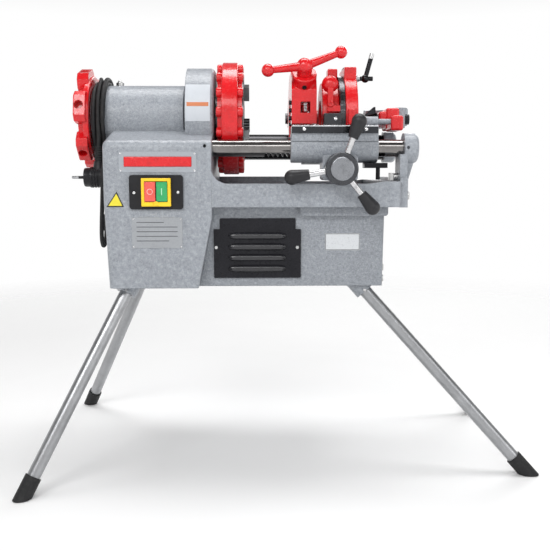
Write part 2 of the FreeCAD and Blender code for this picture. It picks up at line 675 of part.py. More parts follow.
def cutter_parts():
    x0, x1 = CUTTER_X
    outline = [(HINGE[0], HINGE[1] + 14), (44, 662), (20, 669), (-40, 669), (-62, 655), (-73, 636),
               (-73, 580), (-46, 580), (0, AXIS_Z), (5, 545), (45, 545), (72, 575),
               (HINGE[0], HINGE[1] - 13)]
    frame = prism_x(outline, x0, x1)
    frame = fuse(round_edges(frame, 3, X_DIR, lambda p: p.y < 80 and p.z > 600 and abs(p.y) > 15),
                 x_rod(x0, x1, 16, *HINGE))
    boss = rod(slant_point(58), slant_point(101), 21)
    frame = frame.fuse(round_edges(boss, 2.5))
    frame = cut(frame, x_rod(x0, x1, 37), x_rod(x0, x1, HINGE_R + RUN, *HINGE),
                slant_box(12 + RUN, 20, 93, 11 + RUN), slant_box(4, 20, 72, 18.5),
                rod(slant_point(90), slant_point(105), 6 + RUN),
                box(CUTTER_MID - 6, CUTTER_MID + 10, -76, -44, 598, 616))
    pins, rollers = [], []
    for y, z in roller_centres():
        frame = cut(frame, x_rod(x0 + 5, x1 - 5, 9.6, y, z), x_rod(x0, x1, 4, y, z))
        pins.append(x_rod(x0, x1, 4, y, z))
        rollers.append(x_ring(x0 + 5.2, x1 - 5.2, 9, 4 + RUN, y, z))
    for z in (615, 602, 589):
        pins.append(rod((x0 - 4.5, -66, z), (x0, -66, z), 3.6))
    save("cutter_frame", frame.removeSplitter())
    save("cutter_pins", *pins)
    save("upper_roller", rollers[0])
    save("lower_roller", rollers[1])
    slide = slant_box(12, 42, 91, 11)
    wheel_slot = slant_box(3.5, 10, 70, 20)
    slide = cut(slide, wheel_slot, rod(slant_point(69), slant_point(95), 6 + RUN))
    pin = rod(slant_point(WHEEL_AT, 0, CUTTER_MID - 12), slant_point(WHEEL_AT, 0, CUTTER_MID + 12), 3)
    save("cutter_slide", slide.cut(pin), pin)
    wheel = fuse(cone(slant_point(WHEEL_AT, 0, CUTTER_MID - 2.6), slant_point(WHEEL_AT), 11, 17),
                 cone(slant_point(WHEEL_AT), slant_point(WHEEL_AT, 0, CUTTER_MID + 2.6), 17, 11))
    save("cutting_wheel", wheel.cut(rod(slant_point(WHEEL_AT, 0, 0), slant_point(WHEEL_AT, 0, 60), 3 + RUN)))
    hub = V(*slant_point(HANDLE_AT - 10))
    arms = []
    for side in (-1, 1):
        tip = V(*slant_point(HANDLE_AT, side * 24, CUTTER_MID + side * 61))
        arm = cone(hub + (tip - hub) * 0.12, tip, 7.5, 5.2)
        arms.append(arm.fuse(ball(*tip, 10.5, tip - hub)))
    hub_ball = ball(*hub, 13.6, V(0, -1, 1))
    screw = fuse(rod(slant_point(71), hub, 6), rod(slant_point(101.3), hub, 12.5), hub_ball, *arms)
    save("cutter_handle", screw)


def die_head_parts():
    plate = round_edges(x_rod(*DIE_PLATE_X, 78), 2)
    arm_outline = [(60, 634), (HINGE[0], HINGE[1] + 14), (HINGE[0], HINGE[1] - 14), (60, 574)]
    arm = prism_x(arm_outline, *DIE_PLATE_X)
    eye = x_rod(DIE_BLOCK_X[0] + 2, DIE_PLATE_X[1], 16, *HINGE)
    tab = soft_block(78, 94.9, -16, 14, 640, 677, 2)
    top = soft_block(*DIE_PLATE_X, -42, 42, 640, 677, 2)
    body = fuse(plate, arm, eye, x_rod(DIE_BLOCK_X[0], DIE_PLATE_X[1], DIE_HUB_R),
                round_edges(x_rod(*DIE_BLOCK_X, 62), 2), tab, top)
    rib = soft_block(107, 119, -84, -60, 578, 604, 2)
    body = body.fuse(rib)
    whole_x = (DIE_BLOCK_X[0], DIE_PLATE_X[1])
    ring_room = box(CAM_X[0] - 0.1, CAM_X[1], 78, 140, 560, 640)
    body = cut(body, x_rod(*whole_x, 33), x_rod(*whole_x, HINGE_R + RUN, *HINGE), ring_room)
    for angle in DIE_ANGLES:
        slot = box(72 - RUN, 86 + RUN, -7 - RUN, 7 + RUN, AXIS_Z + 20, AXIS_Z + 54)
        body = body.cut(spun(slot, angle))
    stud = x_rod(DIE_PLATE_X[1], 133, 5, -18, 660)
    save("die_head_body", body.removeSplitter(), stud.fuse(x_rod(DIE_PLATE_X[1], 129, 8, -18, 660)))
    for i, angle in enumerate(DIE_ANGLES, 1):
        die = box(72, 86, -7, 7, AXIS_Z + 33.5, AXIS_Z + 48)
        for x in (74, 77, 80, 83):
            tooth = [(x, AXIS_Z + 33.4), (x + 1.2, AXIS_Z + 35), (x + 2.4, AXIS_Z + 33.4)]
            die = die.cut(prism_y(tooth, -8, 8))
        save("die_%d" % i, spun(die, angle))
    ring = x_ring(*CAM_X, 74, DIE_HUB_R + RUN)
    link = fuse(soft_block(73, 83, -73, -66, 599, 640, 2), box(80, CAM_X[1], -73, -66, 600, 610))
    save("cam_ring", fuse(ring, link, ball(78, -60, 646, 14)))
    lever = rod((143, -18, 660), (154.5, -18, 702), 4)
    save("lock_lever", fuse(ball(143, -18, 660, 7), x_rod(133.1, 156, 4, -18, 660), lever))


def reamer_parts():
    hinge_y, hinge_z = HINGE
    x0, x1 = REAMER_ARM_X
    eye = x_rod(x0, x1, 16, *HINGE)
    inner_x = REAMER_BLOCK_X[1] + 1
    top_view = [V(x0, hinge_y, 0), V(x1, hinge_y, 0), V(x1, 20, 0), V(x1 - 12, 8, 0), V(inner_x, 8, 0),
                V(inner_x, 60, 0), V(x0, 90, 0)]
    plate = face_of(top_view).extrude(V(0, 0, 32))
    plate.translate(V(0, 0, 581))
    arm = plate.fuse(eye)
    arm = round_edges(arm.removeSplitter(), 4, Y_DIR, lambda p: p.x > x1 - 1)
    arm = cut(arm, x_rod(x0, x1, HINGE_R + RUN, *HINGE))
    lug = box(inner_x, x1 - 12, -18, 10, 576, 607)
    arm = cut(arm.fuse(lug), x_rod(200, x1, 9 + RUN))
    bx0, bx1 = REAMER_BLOCK_X
    block = fuse(soft_block(bx0 + 12, bx1 + 0.9, -26, 26, 572, 610, 4),
                 soft_block(bx0, bx1, -24, 24, 584, 604, 4),
                 soft_block(bx0 + 13, bx1, LATCH[0] - 8, -10, 569, 594, 4))
    block = cut(block, x_rod(bx0, inner_x, 9 + RUN), x_rod(150, bx0 + 13, 4.5, *LATCH))
    save("reamer_block", block)
    latch = fuse(x_rod(138, 159, 8.5, *LATCH), x_rod(159, bx0 + 13, 4.5, *LATCH))
    save("reamer_arm", arm.removeSplitter(), latch)
    shaft = x_rod(165, 224, 9)
    bladed = cone((139, 0, AXIS_Z), (165, 0, AXIS_Z), 2.5, 25)
    for angle in (0, 72, 144, 216, 288):
        flute = box(136, 166, 3, 40, AXIS_Z + 4, AXIS_Z + 60)
        bladed = bladed.cut(spun(flute, angle))
    save("reamer", fuse(bladed, shaft))


def cord_path(points):
    """Straight runs joined by tangent arcs, each as large as its two runs allow."""
    points = [V(*p) for p in points]
    edges, start, radii = [], points[0], []
    for before, corner, after in zip(points, points[1:], points[2:]):
        into, away = (corner - before), (after - corner)
        run = min(into.Length, away.Length)
        into.normalize()
        away.normalize()
        half_turn = into.getAngle(away) / 2
        radius = 0.45 * run / math.tan(half_turn)
        radii.append(radius)
        first = corner - into * 0.45 * run
        last = corner + away * 0.45 * run
        to_middle = away - into
        to_middle.normalize()
        middle = corner + to_middle * (radius / math.cos(half_turn) - radius)
        edges.append(Part.makeLine(start, first))
        edges.append(Part.Arc(first, middle, last).toShape())
        start = last
    edges.append(Part.makeLine(start, points[-1]))
    return Part.Wire(edges), radii


def swept_cord(points):
    wire, radii = cord_path(points)
    start, after = V(*points[0]), V(*points[1])
    circle = Part.Wire(Part.makeCircle(CORD_R, start, after - start))
    tube = wire.makePipeShell([circle], True, False)
    section = math.pi * CORD_R ** 2
    print("cord radii", [round(r, 1) for r in radii], "length", round(wire.Length, 1),
          "volume ratio", round(tube.Volume / (section * wire.Length), 4))
    return tube


# Route of the lead from its gland, in a hanging loop, up to the coil on the headstock
GLAND_Y = -50.0
SUPPLY_ROUTE = [(-306, GLAND_Y, 414), (-306, GLAND_Y, 398), (-306, -59, 380), (-306, -80, 373),
                (-305, -98, 387), (-303, -105, 412), (-301, -107, 440), (-299.5, -108, 466),
                (-298.5, -107, 490), (-298.5, -97, 511), (-299, -78, 522), (-300.5, -55, 522),
                (-302, -33, 516)]
TAIL_ROUTE = [(-311, -67, 562), (-311, -70, 551), (-311, -71, 541)]
PLUG_AT = (-71.0, 490.5)
PLUG_X = (-336.0, -300.0)
PIN_LENGTH = 19.0
COIL_X = (-323.0, -300.5)


def coil_ring(radius):
    """A loop hung over the round headstock: a circle above and a slack bottom."""
    top = x_rod(*COIL_X, radius)
    low = x_rod(*COIL_X, radius - 6, 0, AXIS_Z - 18)
    return top.fuse(low).removeSplitter()


def mains_lead():
    """Gland under the headstock, the lead, its coil, and the plug that hangs from the coil."""
    route_x, _, gland_low = SUPPLY_ROUTE[0]
    gland_top = gland_low + 13
    gland = fuse(rod((route_x, GLAND_Y, gland_top), SUPPLY_ROUTE[0], 7),
                 x_rod(route_x, COLUMN_LEFT_X, 7, GLAND_Y, gland_top - 6),
                 ball(route_x, GLAND_Y, gland_top - 6, 7))
    save("cord_gland", gland.cut(box(-400, -200, -100, 0, 300, gland_low)))
    save("cord_tube", swept_cord(SUPPLY_ROUTE), swept_cord(TAIL_ROUTE))
    save("cord_coil", coil_ring(72.5).cut(coil_ring(58)))
    plug_y, plug_z = PLUG_AT
    boot_top = TAIL_ROUTE[-1]
    boot = cone(boot_top, (boot_top[0], plug_y, plug_z + 15), 5.6, 7.8)
    shell = round_edges(x_rod(*PLUG_X, 17.5, plug_y, plug_z), 3)
    pins = [x_rod(PLUG_X[0] - PIN_LENGTH, PLUG_X[0], 2.4, plug_y + dy, plug_z) for dy in (-9.5, 9.5)]
    save("plug_body", fuse(shell, boot), *pins)


def build():
    save("headstock_casting", headstock_casting())
    save("chip_tray", chip_tray())
    save("motor_housing", motor_housing())
    save("end_bracket", end_bracket())
    save("front_rack_bar", front_rack_bar())
    save("rear_bar", x_rod(*BAR_X, REAR_BAR_R, *REAR_BAR))
    save("rear_cover", rear_cover())
    save("vent_grille", slotted_panel())
    switch_parts()
    blank_plates()
    body_bolts()
    legs()
    motor_parts()
    gear_train()
    spindle_parts()
    chuck_parts()
    carriage_parts()
    handwheel()
    cutter_parts()
    die_head_parts()
    reamer_parts()
    mains_lead()


def write_parts():
    os.makedirs("parts", exist_ok=True)
    for old in os.listdir("parts"):
        os.remove(os.path.join("parts", old))
    box_all = FreeCAD.BoundBox()
    for name, pieces in solids.items():
        shape = pieces[0] if len(pieces) == 1 else Part.makeCompound(pieces)
        shape.exportStep("parts/%s.step" % name)
        box_all.add(shape.optimalBoundingBox())
    print(len(solids), "nodes", box_all)


build()
write_parts()
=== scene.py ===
import math

import bmesh
import bpy
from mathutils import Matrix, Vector


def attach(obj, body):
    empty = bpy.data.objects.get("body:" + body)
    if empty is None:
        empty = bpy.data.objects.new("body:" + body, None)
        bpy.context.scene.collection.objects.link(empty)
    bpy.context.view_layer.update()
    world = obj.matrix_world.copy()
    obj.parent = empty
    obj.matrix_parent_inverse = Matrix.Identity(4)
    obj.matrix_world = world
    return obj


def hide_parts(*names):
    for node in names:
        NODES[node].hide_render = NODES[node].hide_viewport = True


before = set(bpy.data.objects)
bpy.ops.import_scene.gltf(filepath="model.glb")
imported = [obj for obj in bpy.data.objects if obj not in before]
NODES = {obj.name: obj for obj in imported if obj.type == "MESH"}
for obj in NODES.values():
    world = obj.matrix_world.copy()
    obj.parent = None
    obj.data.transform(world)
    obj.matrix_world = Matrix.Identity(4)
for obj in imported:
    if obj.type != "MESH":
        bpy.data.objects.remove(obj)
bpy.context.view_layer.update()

MM = 0.001
SMOOTH_ANGLE = math.radians(35)
FRONT = (0, -1, 0)
X, Y, Z = range(3)

# The colour sockets of a Mix node, which come after those of its other data types.
MIX_A, MIX_B, MIX_RESULT = 6, 7, 2

# Places of the CAD model that the added pieces stand on, in millimetres.
AXIS_Z = 591.5
BOSS_R = 86.5
BODY_FRONT = -140.0
PANEL_FRONT = -118.0
HOUSING_FRONT = -115.0
BUTTON_FRONT = -153.0
SWITCH_FRAME_FRONT = -147.0
PLATE_THICK = 0.8
SWITCH_PLATE_THICK = 4

# The supply lead, in millimetres: its run up to the coil and from the coil to the plug.
CORD_R = 3.5
GLAND = (-306, -50, 414)
SUPPLY_ROUTE = [GLAND, (-306, -50, 398), (-306, -59, 380), (-306, -80, 373),
                (-305, -98, 387), (-303, -105, 412), (-301, -107, 440), (-299.5, -108, 466),
                (-298.5, -107, 490), (-298.5, -97, 511), (-299, -78, 522), (-300.5, -55, 522),
                (-302, -33, 516)]
TAIL_ROUTE = [(-311, -67, 562), (-311, -70, 551), (-311, -71, 541)]
PLUG_AT = (-71.0, 490.5)
PLUG_X = (-336.0, -300.0)
PIN_LENGTH = 19.0
PIN_OFFSET = 9.5

# The coil: each turn's x and radius in millimetres, and the angles in degrees along it: where it
# changes from turn to turn, and where it starts and ends.
COIL_LANES = [(-304, 69), (-304, 61.7), (-311.75, 61.7),
              (-319.4, 61.7), (-319.4, 69), (-311.75, 69)]
LANE_CHANGES = (505, 830, 1155, 1480, 1805)
CHANGE_WIDTH = 35
COIL_SPAN = (180, 1895)
COIL_STEPS = 72
COIL_SAG = 12

# Where the front's small parts stand, as (x, z) in millimetres.
NAME_BAR = ((-258, 508), (-150, 524))
NAME_PLATE_SCREWS = [(x, z) for x in (-263, -145) for z in (502, 529)]
RATING_PLATE_RIVETS = [(x, z) for x in (-245, -168.5) for z in (379.5, 424.5)]
SWITCH_SCREWS = [(-242.2, 466.8), (-172, 467.5)]
RULE_START = (-240, 419)
RULE_LENGTHS = (44, 66, 66, 66, 52)
RULE_PITCH = 7.5
RULE_HALF_WIDTH = 0.6
TRIANGLE_BORDER = [(-270.6, 468.6), (-287.6, 443.6), (-259.4, 443.6)]
TRIANGLE_LABEL = [(-271.2, 465.2), (-284.2, 445.6), (-262.2, 445.6)]
STOP_RING = (-215.85, 468.5)
START_BAR = ((-197.9, 463), (-196.4, 474))
SWITCH_LIP = (-206.5, 449.5)
LOUVRE_SPAN = (-93, 3)
LOUVRE_HEIGHTS = (395, 377, 359, 341)
LOUVRE_HALF_HEIGHT = 6.0
LOUVRE_DEPTH = 6.2
LOUVRE_END = 0.03
MARKING_BORDER = ((67.6, 371.1), (124.4, 398.4))
BORDER_WIDTH = 0.9

# The boss label and its band: where each starts and ends in x and in z, in millimetres.
BOSS_LABEL = ((-164, -123), (583, 644))
BOSS_BAND = ((-161.5, -125.5), (607.5, 614))

# The small parts of the tools and the carriage, in millimetres.
CUTTER_X = 34.0
SCREW_TILT = math.radians(45)
SET_SCREW = (88, -20.8)
SPRING_FOOT = (36.5, -64, 599.5)
STOP_BUTTON_DOME = (84.8, -92, 586.5)
WAY_DOMES = [(31, -130, 568), (131, -130, 568)]
CAM_LINK_BOLT = (78, -73, 612)
DIE_HEAD_CAP = ((104.6, -20, 676.4), (124.4, 12, 678.6))

# The handwheel's axis (x, z), its flange and the face that its cap stands on, in metres.
HANDWHEEL = (0.0875, 0.5045)
FLANGE_R = 0.0265
CAP_FACE_Y = -0.1805

# Each light's name, place in metres, width and height in metres, and power in watts.
LIGHTS = [
    ("key", (-1.4, -2.3, 2.3), (1.3, 1.0), 26),
    ("strip", (0.0, -2.2, 1.9), (2.6, 0.55), 19),
    ("fill", (2.4, -1.8, 1.3), (1.2, 1.6), 12),
    ("top", (0.1, 0.3, 2.6), (2.0, 0.8), 40),
    ("rim", (1.0, 2.4, 1.6), (1.6, 1.0), 20),
]
LIGHT_TARGET = (0, 0, 0.5)

# The sky's strength, and how high above the horizon, as the sine of the angle, it changes over.
SKY_CHANGE = (0.18, 0.50)
SKY_STRENGTH = (1.0, 0.20)

# The floor: its side, how far it lies below the feet, and where it fades out, in metres.
FLOOR_SIZE = 6
FLOOR_DROP = 0.001
FLOOR_FADE = (0.75, 2.4)

CAMERA_PLACE = (-0.0445, -1.400, 0.5036)
CAMERA_FORWARD = (0.02208, 0.99068, -0.13437)
CAMERA_LENS = 50.92
CAMERA_SENSOR = 36


# ---------------------------------------------------------------- materials

def map_range(tree, value, low, high, start, end):
    """A value from low..high, mapped to start..end and held there."""
    node = tree.nodes.new("ShaderNodeMapRange")
    numbers = (("From Min", low), ("From Max", high), ("To Min", start), ("To Max", end))
    for key, number in numbers:
        node.inputs[key].default_value = number
    tree.links.new(value, node.inputs["Value"])
    return node.outputs["Result"]


class Finish:
    """One material's nodes: a principled shader, object coordinates and a softened edge."""

    def __init__(self, name, edge=0.0012):
        self.material = bpy.data.materials.new(name)
        self.material.use_nodes = True
        self.tree = self.material.node_tree
        self.shader = self.tree.nodes["Principled BSDF"]
        self.place = self.node("ShaderNodeTexCoord").outputs["Object"]
        rounded = self.node("ShaderNodeBevel")
        rounded.samples = 4
        rounded.inputs["Radius"].default_value = edge
        self.rounded = rounded.outputs["Normal"]
        self.height = None

    def node(self, kind):
        return self.tree.nodes.new(kind)

    def join(self, source, target):
        self.tree.links.new(source, target)

    def feed(self, socket, value):
        """Sets a socket to a number or an (r, g, b) colour, or joins another socket to it."""
        if isinstance(value, tuple):
            socket.default_value = (*value, 1)
        elif isinstance(value, (int, float)):
            socket.default_value = value
        else:
            self.join(value, socket)

    def calc(self, operation, a, b):
        """A math node of two values, each a socket or a number."""
        node = self.node("ShaderNodeMath")
        node.operation = operation
        self.feed(node.inputs[0], a)
        self.feed(node.inputs[1], b)
        return node.outputs[0]

    def noise(self, scale, detail=3, rough=0.55, stretch=(1, 1, 1)):
        """Noise over the piece: a larger scale is finer, and rough gives the fine part's share."""
        mapping = self.node("ShaderNodeMapping")
        mapping.inputs["Scale"].default_value = stretch
        self.join(self.place, mapping.inputs["Vector"])
        node = self.node("ShaderNodeTexNoise")
        node.inputs["Scale"].default_value = scale
        node.inputs["Detail"].default_value = detail
        node.inputs["Roughness"].default_value = rough
        self.join(mapping.outputs["Vector"], node.inputs["Vector"])
        return node.outputs["Fac"]

    def span(self, value, low=0.3, high=0.7, start=0.0, end=1.0):
        """A value from low..high, mapped to start..end and held there."""
        return map_range(self.tree, value, low, high, start, end)

    def grime(self, scale, low, high, most):
        """Ragged patches of dirt or oil, which cover up to a share of the colour below."""
        return self.span(self.noise(scale, 5, 0.7), low, high, 0, most)

    def blend(self, amount, a, b):
        """A colour mix by a socket; a and b are colours or sockets."""
        node = self.node("ShaderNodeMix")
        node.data_type = "RGBA"
        self.join(amount, node.inputs[0])
        self.feed(node.inputs[MIX_A], a)
        self.feed(node.inputs[MIX_B], b)
        return node.outputs[MIX_RESULT]

    def vector(self, operation, value):
        """A vector math node, with its first input joined."""
        node = self.node("ShaderNodeVectorMath")
        node.operation = operation
        self.join(value, node.inputs[0])
        return node

    def beyond(self, axis, limit):
        """1 where the piece's own x, y or z, in metres, is over a limit, and 0 below it."""
        parts = self.node("ShaderNodeSeparateXYZ")
        self.join(self.place, parts.inputs[0])
        return self.calc("GREATER_THAN", parts.outputs[axis], limit)

    def outside(self, centre, radius):
        """1 outside a cylinder along y round an (x, z) centre, and 0 inside it."""
        offset = self.vector("SUBTRACT", self.place)
        offset.inputs[1].default_value = (centre[0], 0, centre[1])
        flat = self.vector("MULTIPLY", offset.outputs[0])
        flat.inputs[1].default_value = (1, 0, 1)
        length = self.vector("LENGTH", flat.outputs[0])
        return self.calc("GREATER_THAN", length.outputs["Value"], radius)

    def worn_edges(self, low=0.015, high=0.16):
        """1 along sharp edges, broken up by noise, and 0 on flat faces."""
        geometry = self.node("ShaderNodeNewGeometry")
        match = self.vector("DOT_PRODUCT", self.rounded)
        self.join(geometry.outputs["Normal"], match.inputs[1])
        bend = self.calc("SUBTRACT", 1.0, match.outputs["Value"])
        edge = self.span(bend, low, high)
        patches = self.span(self.noise(70, 4, 0.65), 0.48, 0.62)
        return self.calc("MULTIPLY", edge, patches)

    def relief(self, height, distance, strength=1.0):
        """Adds a bump to those already there."""
        bump = self.node("ShaderNodeBump")
        bump.inputs["Distance"].default_value = distance
        bump.inputs["Strength"].default_value = strength
        self.join(height, bump.inputs["Height"])
        self.join(self.height or self.rounded, bump.inputs["Normal"])
        self.height = bump.outputs["Normal"]

    def ground(self, colour, shine, bump=0.0001, scale=420, stretch=(1, 1, 1)):
        """Finishes bare metal: a fine grain in its relief, and a roughness that follows it."""
        grain = self.noise(scale, 3, 0.6, stretch)
        self.relief(grain, bump, 0.6)
        return self.done(colour, self.span(grain, start=shine[0], end=shine[1]), metallic=1.0)

    def done(self, colour, roughness, metallic=0.0, coat=0.0, coat_roughness=0.1, specular=0.5):
        """Feeds the shader and returns the material."""
        settings = {"Base Color": colour, "Roughness": roughness, "Metallic": metallic,
                    "Coat Weight": coat, "Coat Roughness": coat_roughness,
                    "Specular IOR Level": specular, "Normal": self.height or self.rounded}
        for key, value in settings.items():
            self.feed(self.shader.inputs[key], value)
        return self.material


def tinted(colour, factor, lift=0.0):
    """A colour made lighter or darker by a factor, with a lift added to it."""
    return tuple(factor * c + lift for c in colour)


def casting_paint(name, shade=1.0):
    """Blue-grey satin paint over a rough sand casting, with light and dark specks."""
    made = Finish(name, 0.0028)
    # A shade below 1 darkens every colour of the paint, as painted shade.
    base = tinted((0.272, 0.292, 0.322), shade)
    light = tinted((0.470, 0.495, 0.530), shade)
    dark = tinted((0.150, 0.162, 0.182), shade)
    clouds = made.span(made.noise(14, 4), 0.35, 0.68)
    colour = made.blend(clouds, base, tinted(base, 1.14))
    dimples = made.noise(210, 3, 0.6)
    colour = made.blend(made.span(dimples, 0.53, 0.70, 0, 0.5), colour, light)
    colour = made.blend(made.span(dimples, 0.47, 0.30, 0, 0.5), colour, dark)
    specks = made.noise(900, 2, 0.6)
    colour = made.blend(made.span(specks, 0.55, 0.68, 0, 0.7), colour, light)
    colour = made.blend(made.span(specks, 0.45, 0.32, 0, 0.7), colour, dark)
    colour = made.blend(made.grime(45, 0.56, 0.72, 0.3), colour, dark)
    colour = made.blend(made.calc("MULTIPLY", made.worn_edges(), 0.5), colour, light)
    made.relief(made.noise(60, 3), 0.0020, 0.6)
    made.relief(dimples, 0.0012, 0.8)
    made.relief(made.noise(520, 3, 0.6), 0.0005, 0.7)
    roughness = made.span(made.noise(260), start=0.26, end=0.46)
    return made.done(colour, roughness, coat=0.15, coat_roughness=0.25)


def red_enamel(made):
    """Colour and bumps of glossy red enamel over a casting."""
    clouds = made.span(made.noise(22, 4), 0.35, 0.68)
    colour = made.blend(clouds, (0.60, 0.005, 0.008), (0.72, 0.009, 0.014))
    colour = made.blend(made.grime(60, 0.55, 0.75, 0.55), colour, (0.34, 0.004, 0.008))
    worn = made.calc("MULTIPLY", made.worn_edges(0.06, 0.3), 0.35)
    colour = made.blend(worn, colour, (0.24, 0.06, 0.05))
    made.relief(made.noise(80, 3), 0.0014, 0.5)
    made.relief(made.noise(420, 2), 0.0003, 0.5)
    return colour


def red_paint(name):
    """Glossy red enamel over a casting."""
    made = Finish(name, 0.0022)
    colour = red_enamel(made)
    roughness = made.span(made.noise(180), start=0.16, end=0.32)
    return made.done(colour, roughness, coat=0.45, coat_roughness=0.10, specular=0.4)


def red_and_steel(name, axis, limit, steel_colour):
    """Red enamel on one side of a plane across the piece, and bare steel beyond it."""
    made = Finish(name, 0.0014)
    bare = made.beyond(axis, limit)
    paint = red_enamel(made)
    stain = made.grime(75, 0.45, 0.72, 0.5)
    metal = made.blend(stain, steel_colour, tinted(steel_colour, 0.4))
    metal = made.blend(made.worn_edges(), metal, tinted(steel_colour, 2))
    colour = made.blend(bare, paint, metal)
    roughness = made.span(made.noise(180), start=0.18, end=0.36)
    return made.done(colour, roughness, metallic=bare, coat=0.2)


def steel(name, base, rough=(0.22, 0.38), stretch=(1, 1, 1), dirt=0.4, bump=0.00012):
    """Bare steel with a turned or ground grain, oil stains and bright worn edges."""
    made = Finish(name, 0.0008)
    colour = made.blend(made.span(made.noise(30, 4)), base, tinted(base, 1.25))
    colour = made.blend(made.grime(75, 0.52, 0.72, dirt), colour, tinted(base, 0.35))
    bright = tuple(min(1, c) for c in tinted(base, 1.6, 0.08))
    colour = made.blend(made.worn_edges(), colour, bright)
    return made.ground(colour, rough, bump, 500, stretch)


def split_steel(name, base, split):
    """Steel with another colour beyond a plane across the piece: (axis, limit, colour)."""
    made = Finish(name, 0.0008)
    axis, limit, other = split
    colour = made.blend(made.span(made.noise(30, 4)), base, tinted(base, 1.2))
    colour = made.blend(made.beyond(axis, limit), colour, other)
    colour = made.blend(made.grime(75, 0.5, 0.72, 0.45), colour, (0.03, 0.03, 0.033))
    return made.ground(colour, (0.16, 0.32))


def hub_steel(name):
    """The handwheel's hub: a dark flange, a paler cap on its front and chrome spokes."""
    made = Finish(name, 0.0008)
    cap, flange, spokes = (0.30, 0.31, 0.33), (0.085, 0.088, 0.095), (0.70, 0.70, 0.71)
    colour = made.blend(made.beyond(Y, CAP_FACE_Y), cap, flange)
    colour = made.blend(made.outside(HANDWHEEL, FLANGE_R), colour, spokes)
    colour = made.blend(made.grime(75, 0.5, 0.72, 0.4), colour, (0.04, 0.04, 0.043))
    colour = made.blend(made.worn_edges(), colour, (0.75, 0.75, 0.76))
    return made.ground(colour, (0.14, 0.30))


def split_paint(name, base, splits):
    """Satin paint with other colours beyond planes across the piece: (axis, limit, colour)."""
    made = Finish(name, 0.0006)
    colour = made.blend(made.span(made.noise(40, 4)), base, tinted(base, 1.08))
    for axis, limit, other in splits:
        colour = made.blend(made.beyond(axis, limit), colour, other)
    specks = made.noise(600, 2)
    colour = made.blend(made.span(specks, 0.56, 0.7, 0, 0.35), colour, (0.20, 0.21, 0.23))
    made.relief(specks, 0.0002, 0.5)
    return made.done(colour, made.span(made.noise(200), start=0.28, end=0.42), metallic=0.2)


def plastic(name, base, rough=(0.32, 0.45), grain=900, bump=0.0002, specular=0.5):
    """Moulded plastic with a fine texture and paler scuffs on its edges."""
    made = Finish(name, 0.0010)
    colour = made.blend(made.span(made.noise(35)), base, tinted(base, 1.2, 0.004))
    scuffs = made.calc("MULTIPLY", made.worn_edges(), 0.5)
    colour = made.blend(scuffs, colour, tinted(base, 1.35, 0.05))
    made.relief(made.noise(grain, 2), bump, 0.5)
    roughness = made.span(made.noise(120, 4), start=rough[0], end=rough[1])
    return made.done(colour, roughness, specular=specular)


def rubber(name, base):
    """Matt black rubber with a fine dust."""
    made = Finish(name, 0.0012)
    colour = made.blend(made.grime(90, 0.5, 0.8, 0.5), base, (0.05, 0.049, 0.047))
    made.relief(made.noise(1400, 2), 0.0002, 0.6)
    roughness = made.span(made.noise(200), start=0.52, end=0.72)
    return made.done(colour, roughness, specular=0.3)


def printed(name, base):
    """A printed film label."""
    made = Finish(name, 0.0004)
    wear = made.span(made.noise(60, 4), 0.45, 0.7, 0, 0.3)
    colour = made.blend(wear, base, tinted(base, 0.82))
    made.relief(made.noise(500, 2), 0.00006, 0.4)
    return made.done(colour, made.span(made.noise(90), start=0.3, end=0.45))


CASTING = casting_paint("casting_paint")
# A darker copy of the casting paint: painted shade on the motor housing and the rear cover.
CASTING_PAINTED_SHADE = casting_paint("casting_painted_shade", 0.86)
RED = red_paint("red_enamel")
CAM_FINISH = red_and_steel("cam_ring_finish", X, 0.0945, (0.075, 0.075, 0.08))
DIE_FINISH = red_and_steel("die_head_finish", X, 0.1252, (0.45, 0.45, 0.46))
DARK_BAR = steel("oiled_bar_steel", (0.21, 0.20, 0.195), (0.09, 0.20), (0.02, 1, 1), 0.3)
REAR_BAR_STEEL = steel("black_bar_steel", (0.035, 0.034, 0.036), (0.16, 0.3), (0.02, 1, 1), 0.4)
DARK_STEEL = steel("dark_steel", (0.12, 0.12, 0.125), (0.28, 0.48))
BLACK_STEEL = steel("blackened_steel", (0.028, 0.028, 0.031), (0.30, 0.5), dirt=0.5)
BRIGHT_STEEL = steel("machined_steel", (0.52, 0.52, 0.52), (0.2, 0.36), (1, 1, 0.2))
CHROME = steel("chrome", (0.74, 0.74, 0.75), (0.05, 0.13), dirt=0.08, bump=0.00004)
TUBE_STEEL = steel("leg_tube_steel", (0.33, 0.335, 0.345), (0.28, 0.42), (1, 1, 0.06), 0.2)
BRONZE = steel("bronze", (0.50, 0.33, 0.15), (0.25, 0.4))
WAY_FINISH = split_steel("way_strip_finish", (0.045, 0.047, 0.052),
                         (Z, 0.5722, (0.55, 0.56, 0.58)))
LEVER_FINISH = split_steel("lock_lever_finish", (0.026, 0.026, 0.028),
                           (Z, 0.6935, (0.6, 0.6, 0.6)))
HUB_FINISH = hub_steel("hub_finish")
GUIDE_FINISH = split_steel("guide_block_finish", (0.02, 0.02, 0.022),
                           (Z, 0.55, (0.065, 0.068, 0.073)))
BLACK_PLASTIC = plastic("black_plastic", (0.010, 0.010, 0.012), specular=0.28)
GRIP_PLASTIC = plastic("grip_plastic", (0.016, 0.016, 0.018), (0.34, 0.46), specular=0.35)
BLACK_PANEL = plastic("black_panel_paint", (0.006, 0.006, 0.009), (0.22, 0.36), 500, 0.0003, 0.25)
LOUVRE_PAINT = plastic("louvre_paint", (0.011, 0.011, 0.014), (0.16, 0.26), 300, 0.0002, 0.7)
RUBBER = rubber("black_rubber", (0.016, 0.016, 0.017))
CORD_RUBBER = rubber("lead_rubber", (0.012, 0.012, 0.013))
YELLOW = plastic("yellow_plastic", (0.86, 0.56, 0.012))
RED_BUTTON = plastic("red_button", (0.72, 0.10, 0.075), (0.18, 0.3))
GREEN_BUTTON = plastic("green_button", (0.03, 0.34, 0.11), (0.18, 0.3))
PALE_RED = plastic("pale_red_mark", (0.85, 0.42, 0.38))
